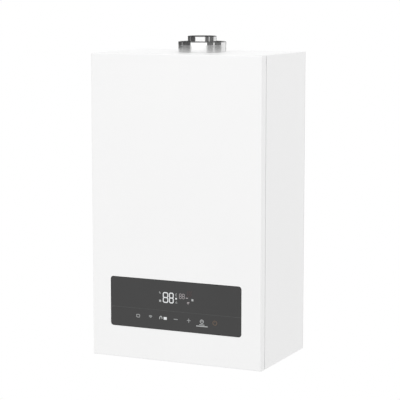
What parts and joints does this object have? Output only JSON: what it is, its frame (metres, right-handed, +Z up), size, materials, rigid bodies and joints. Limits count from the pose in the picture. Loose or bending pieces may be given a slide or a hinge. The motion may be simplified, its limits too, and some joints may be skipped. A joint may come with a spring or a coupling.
{
  "type": "wall-hung gas boiler",
  "caption": "White wall-hung gas boiler with a dark touch panel, coaxial flue outlet, pull-off front cover, sealed burner chamber, fan, pump and pipe connections below.",
  "frame": {"origin": "on the wall plane, on the centre line, level with the casing's bottom edge", "axes": "+X to the right seen from the front, +Y back into the wall, +Z up"},
  "size_m": [0.4, 0.245, 0.722],
  "materials": {
    "white_paint": "satin",
    "zinc_sheet": "matt",
    "screw_steel": "satin",
    "black_rubber": "matt",
    "dark_glass": "gloss",
    "grey_plastic": "matt",
    "circuit_board": "satin",
    "clear_glass": "gloss",
    "stainless": "satin",
    "ceramic": "gloss",
    "fibre_board": "matt",
    "copper": "satin",
    "brass": "satin",
    "cast_alloy": "matt",
    "polished_alloy": "polished",
    "red_paint": "satin",
    "red_plastic": "satin",
    "blue_plastic": "satin",
    "black_plastic": "matt",
    "pump_iron": "matt",
    "lead_sleeve": "satin"
  },
  "bodies": {
    "casing": {"rear_frame": "zinc_sheet", "left_side_panel": "white_paint", "right_side_panel": "white_paint", "casing_screws": "screw_steel", "top_panel": "white_paint", "bottom_plate": "zinc_sheet", "stud_grommets": "black_rubber", "touch_glass": "dark_glass", "panel_carrier": "grey_plastic", "display_board": "circuit_board", "control_box": "grey_plastic", "main_board": "circuit_board", "side_brackets": "zinc_sheet", "cable_gland": "black_plastic", "sealed_chamber": "zinc_sheet", "chamber_cover": "zinc_sheet", "sight_glass": "clear_glass", "chamber_seal": "black_rubber", "chamber_screws": "screw_steel", "burner_tray": "stainless", "burner_blades": "stainless", "gas_manifold": "cast_alloy", "electrodes": "ceramic", "combustion_box": "copper", "insulation_boards": "fibre_board", "exchanger_fins": "copper", "exchanger_tubes": "copper", "flue_hood": "stainless", "fan_volute": "stainless", "fan_motor": "black_plastic", "air_collar": "polished_alloy", "flue_pipe": "polished_alloy", "flue_seal": "black_rubber", "air_pressure_switch": "grey_plastic", "pressure_hoses": "black_rubber", "gas_valve": "cast_alloy", "gas_valve_coils": "black_plastic", "gas_feed_pipe": "copper", "connection_nipples": "brass", "flow_block": "brass", "return_block": "brass", "plate_heat_exchanger": "stainless", "valve_actuator": "black_plastic", "pump_housing": "pump_iron", "pump_motor": "black_plastic", "air_vent": "brass", "safety_valve": "brass", "expansion_vessel": "red_paint", "vessel_pipe": "copper", "heating_pipes": "copper", "wiring_leads": "lead_sleeve"},
    "cover": {"front_cover": "white_paint", "cover_studs": "screw_steel"},
    "fan_rotor": {"fan_impeller": "stainless"},
    "pump_wheel": {"pump_rotor": "black_plastic"},
    "turbine": {"flow_turbine": "black_plastic"},
    "diverter_stem": {"valve_stem": "screw_steel"},
    "plungers": {"gas_plungers": "screw_steel"},
    "relief_knob": {"safety_knob": "red_plastic"},
    "fill_tap_knob": {"fill_knob": "blue_plastic"}
  },
  "joints": [
    {"name": "cover_pull", "type": "slide", "parent": "casing", "child": "cover", "axis": [0, -1, 0], "range_m": [0, 0.3]},
    {"name": "fan_spin", "type": "hinge", "parent": "casing", "child": "fan_rotor", "pos_m": [0.031, -0.105, 0.557], "axis": [0, 1, 0], "continuous": true},
    {"name": "pump_spin", "type": "hinge", "parent": "casing", "child": "pump_wheel", "pos_m": [0.13, -0.1, 0.102], "axis": [0, 1, 0], "continuous": true},
    {"name": "turbine_spin", "type": "hinge", "parent": "casing", "child": "turbine", "pos_m": [0.065, -0.1, 0.047], "axis": [0, 0, 1], "continuous": true},
    {"name": "diverter_stroke", "type": "slide", "parent": "casing", "child": "diverter_stem", "axis": [0, 0, 1], "range_m": [0, 0.007]},
    {"name": "plunger_lift", "type": "slide", "parent": "casing", "child": "plungers", "axis": [0, -1, 0], "range_m": [0, 0.003], "stiffness_N_per_m": 400, "springref_m": -0.002},
    {"name": "relief_turn", "type": "hinge", "parent": "casing", "child": "relief_knob", "pos_m": [0.13, -0.15, 0.044], "axis": [0, -1, 0], "range_deg": [0, 90]},
    {"name": "fill_turn", "type": "hinge", "parent": "casing", "child": "fill_tap_knob", "pos_m": [0.0975, -0.144, -0.01], "axis": [0, 0, -1], "range_deg": [0, 180]}
  ]
}
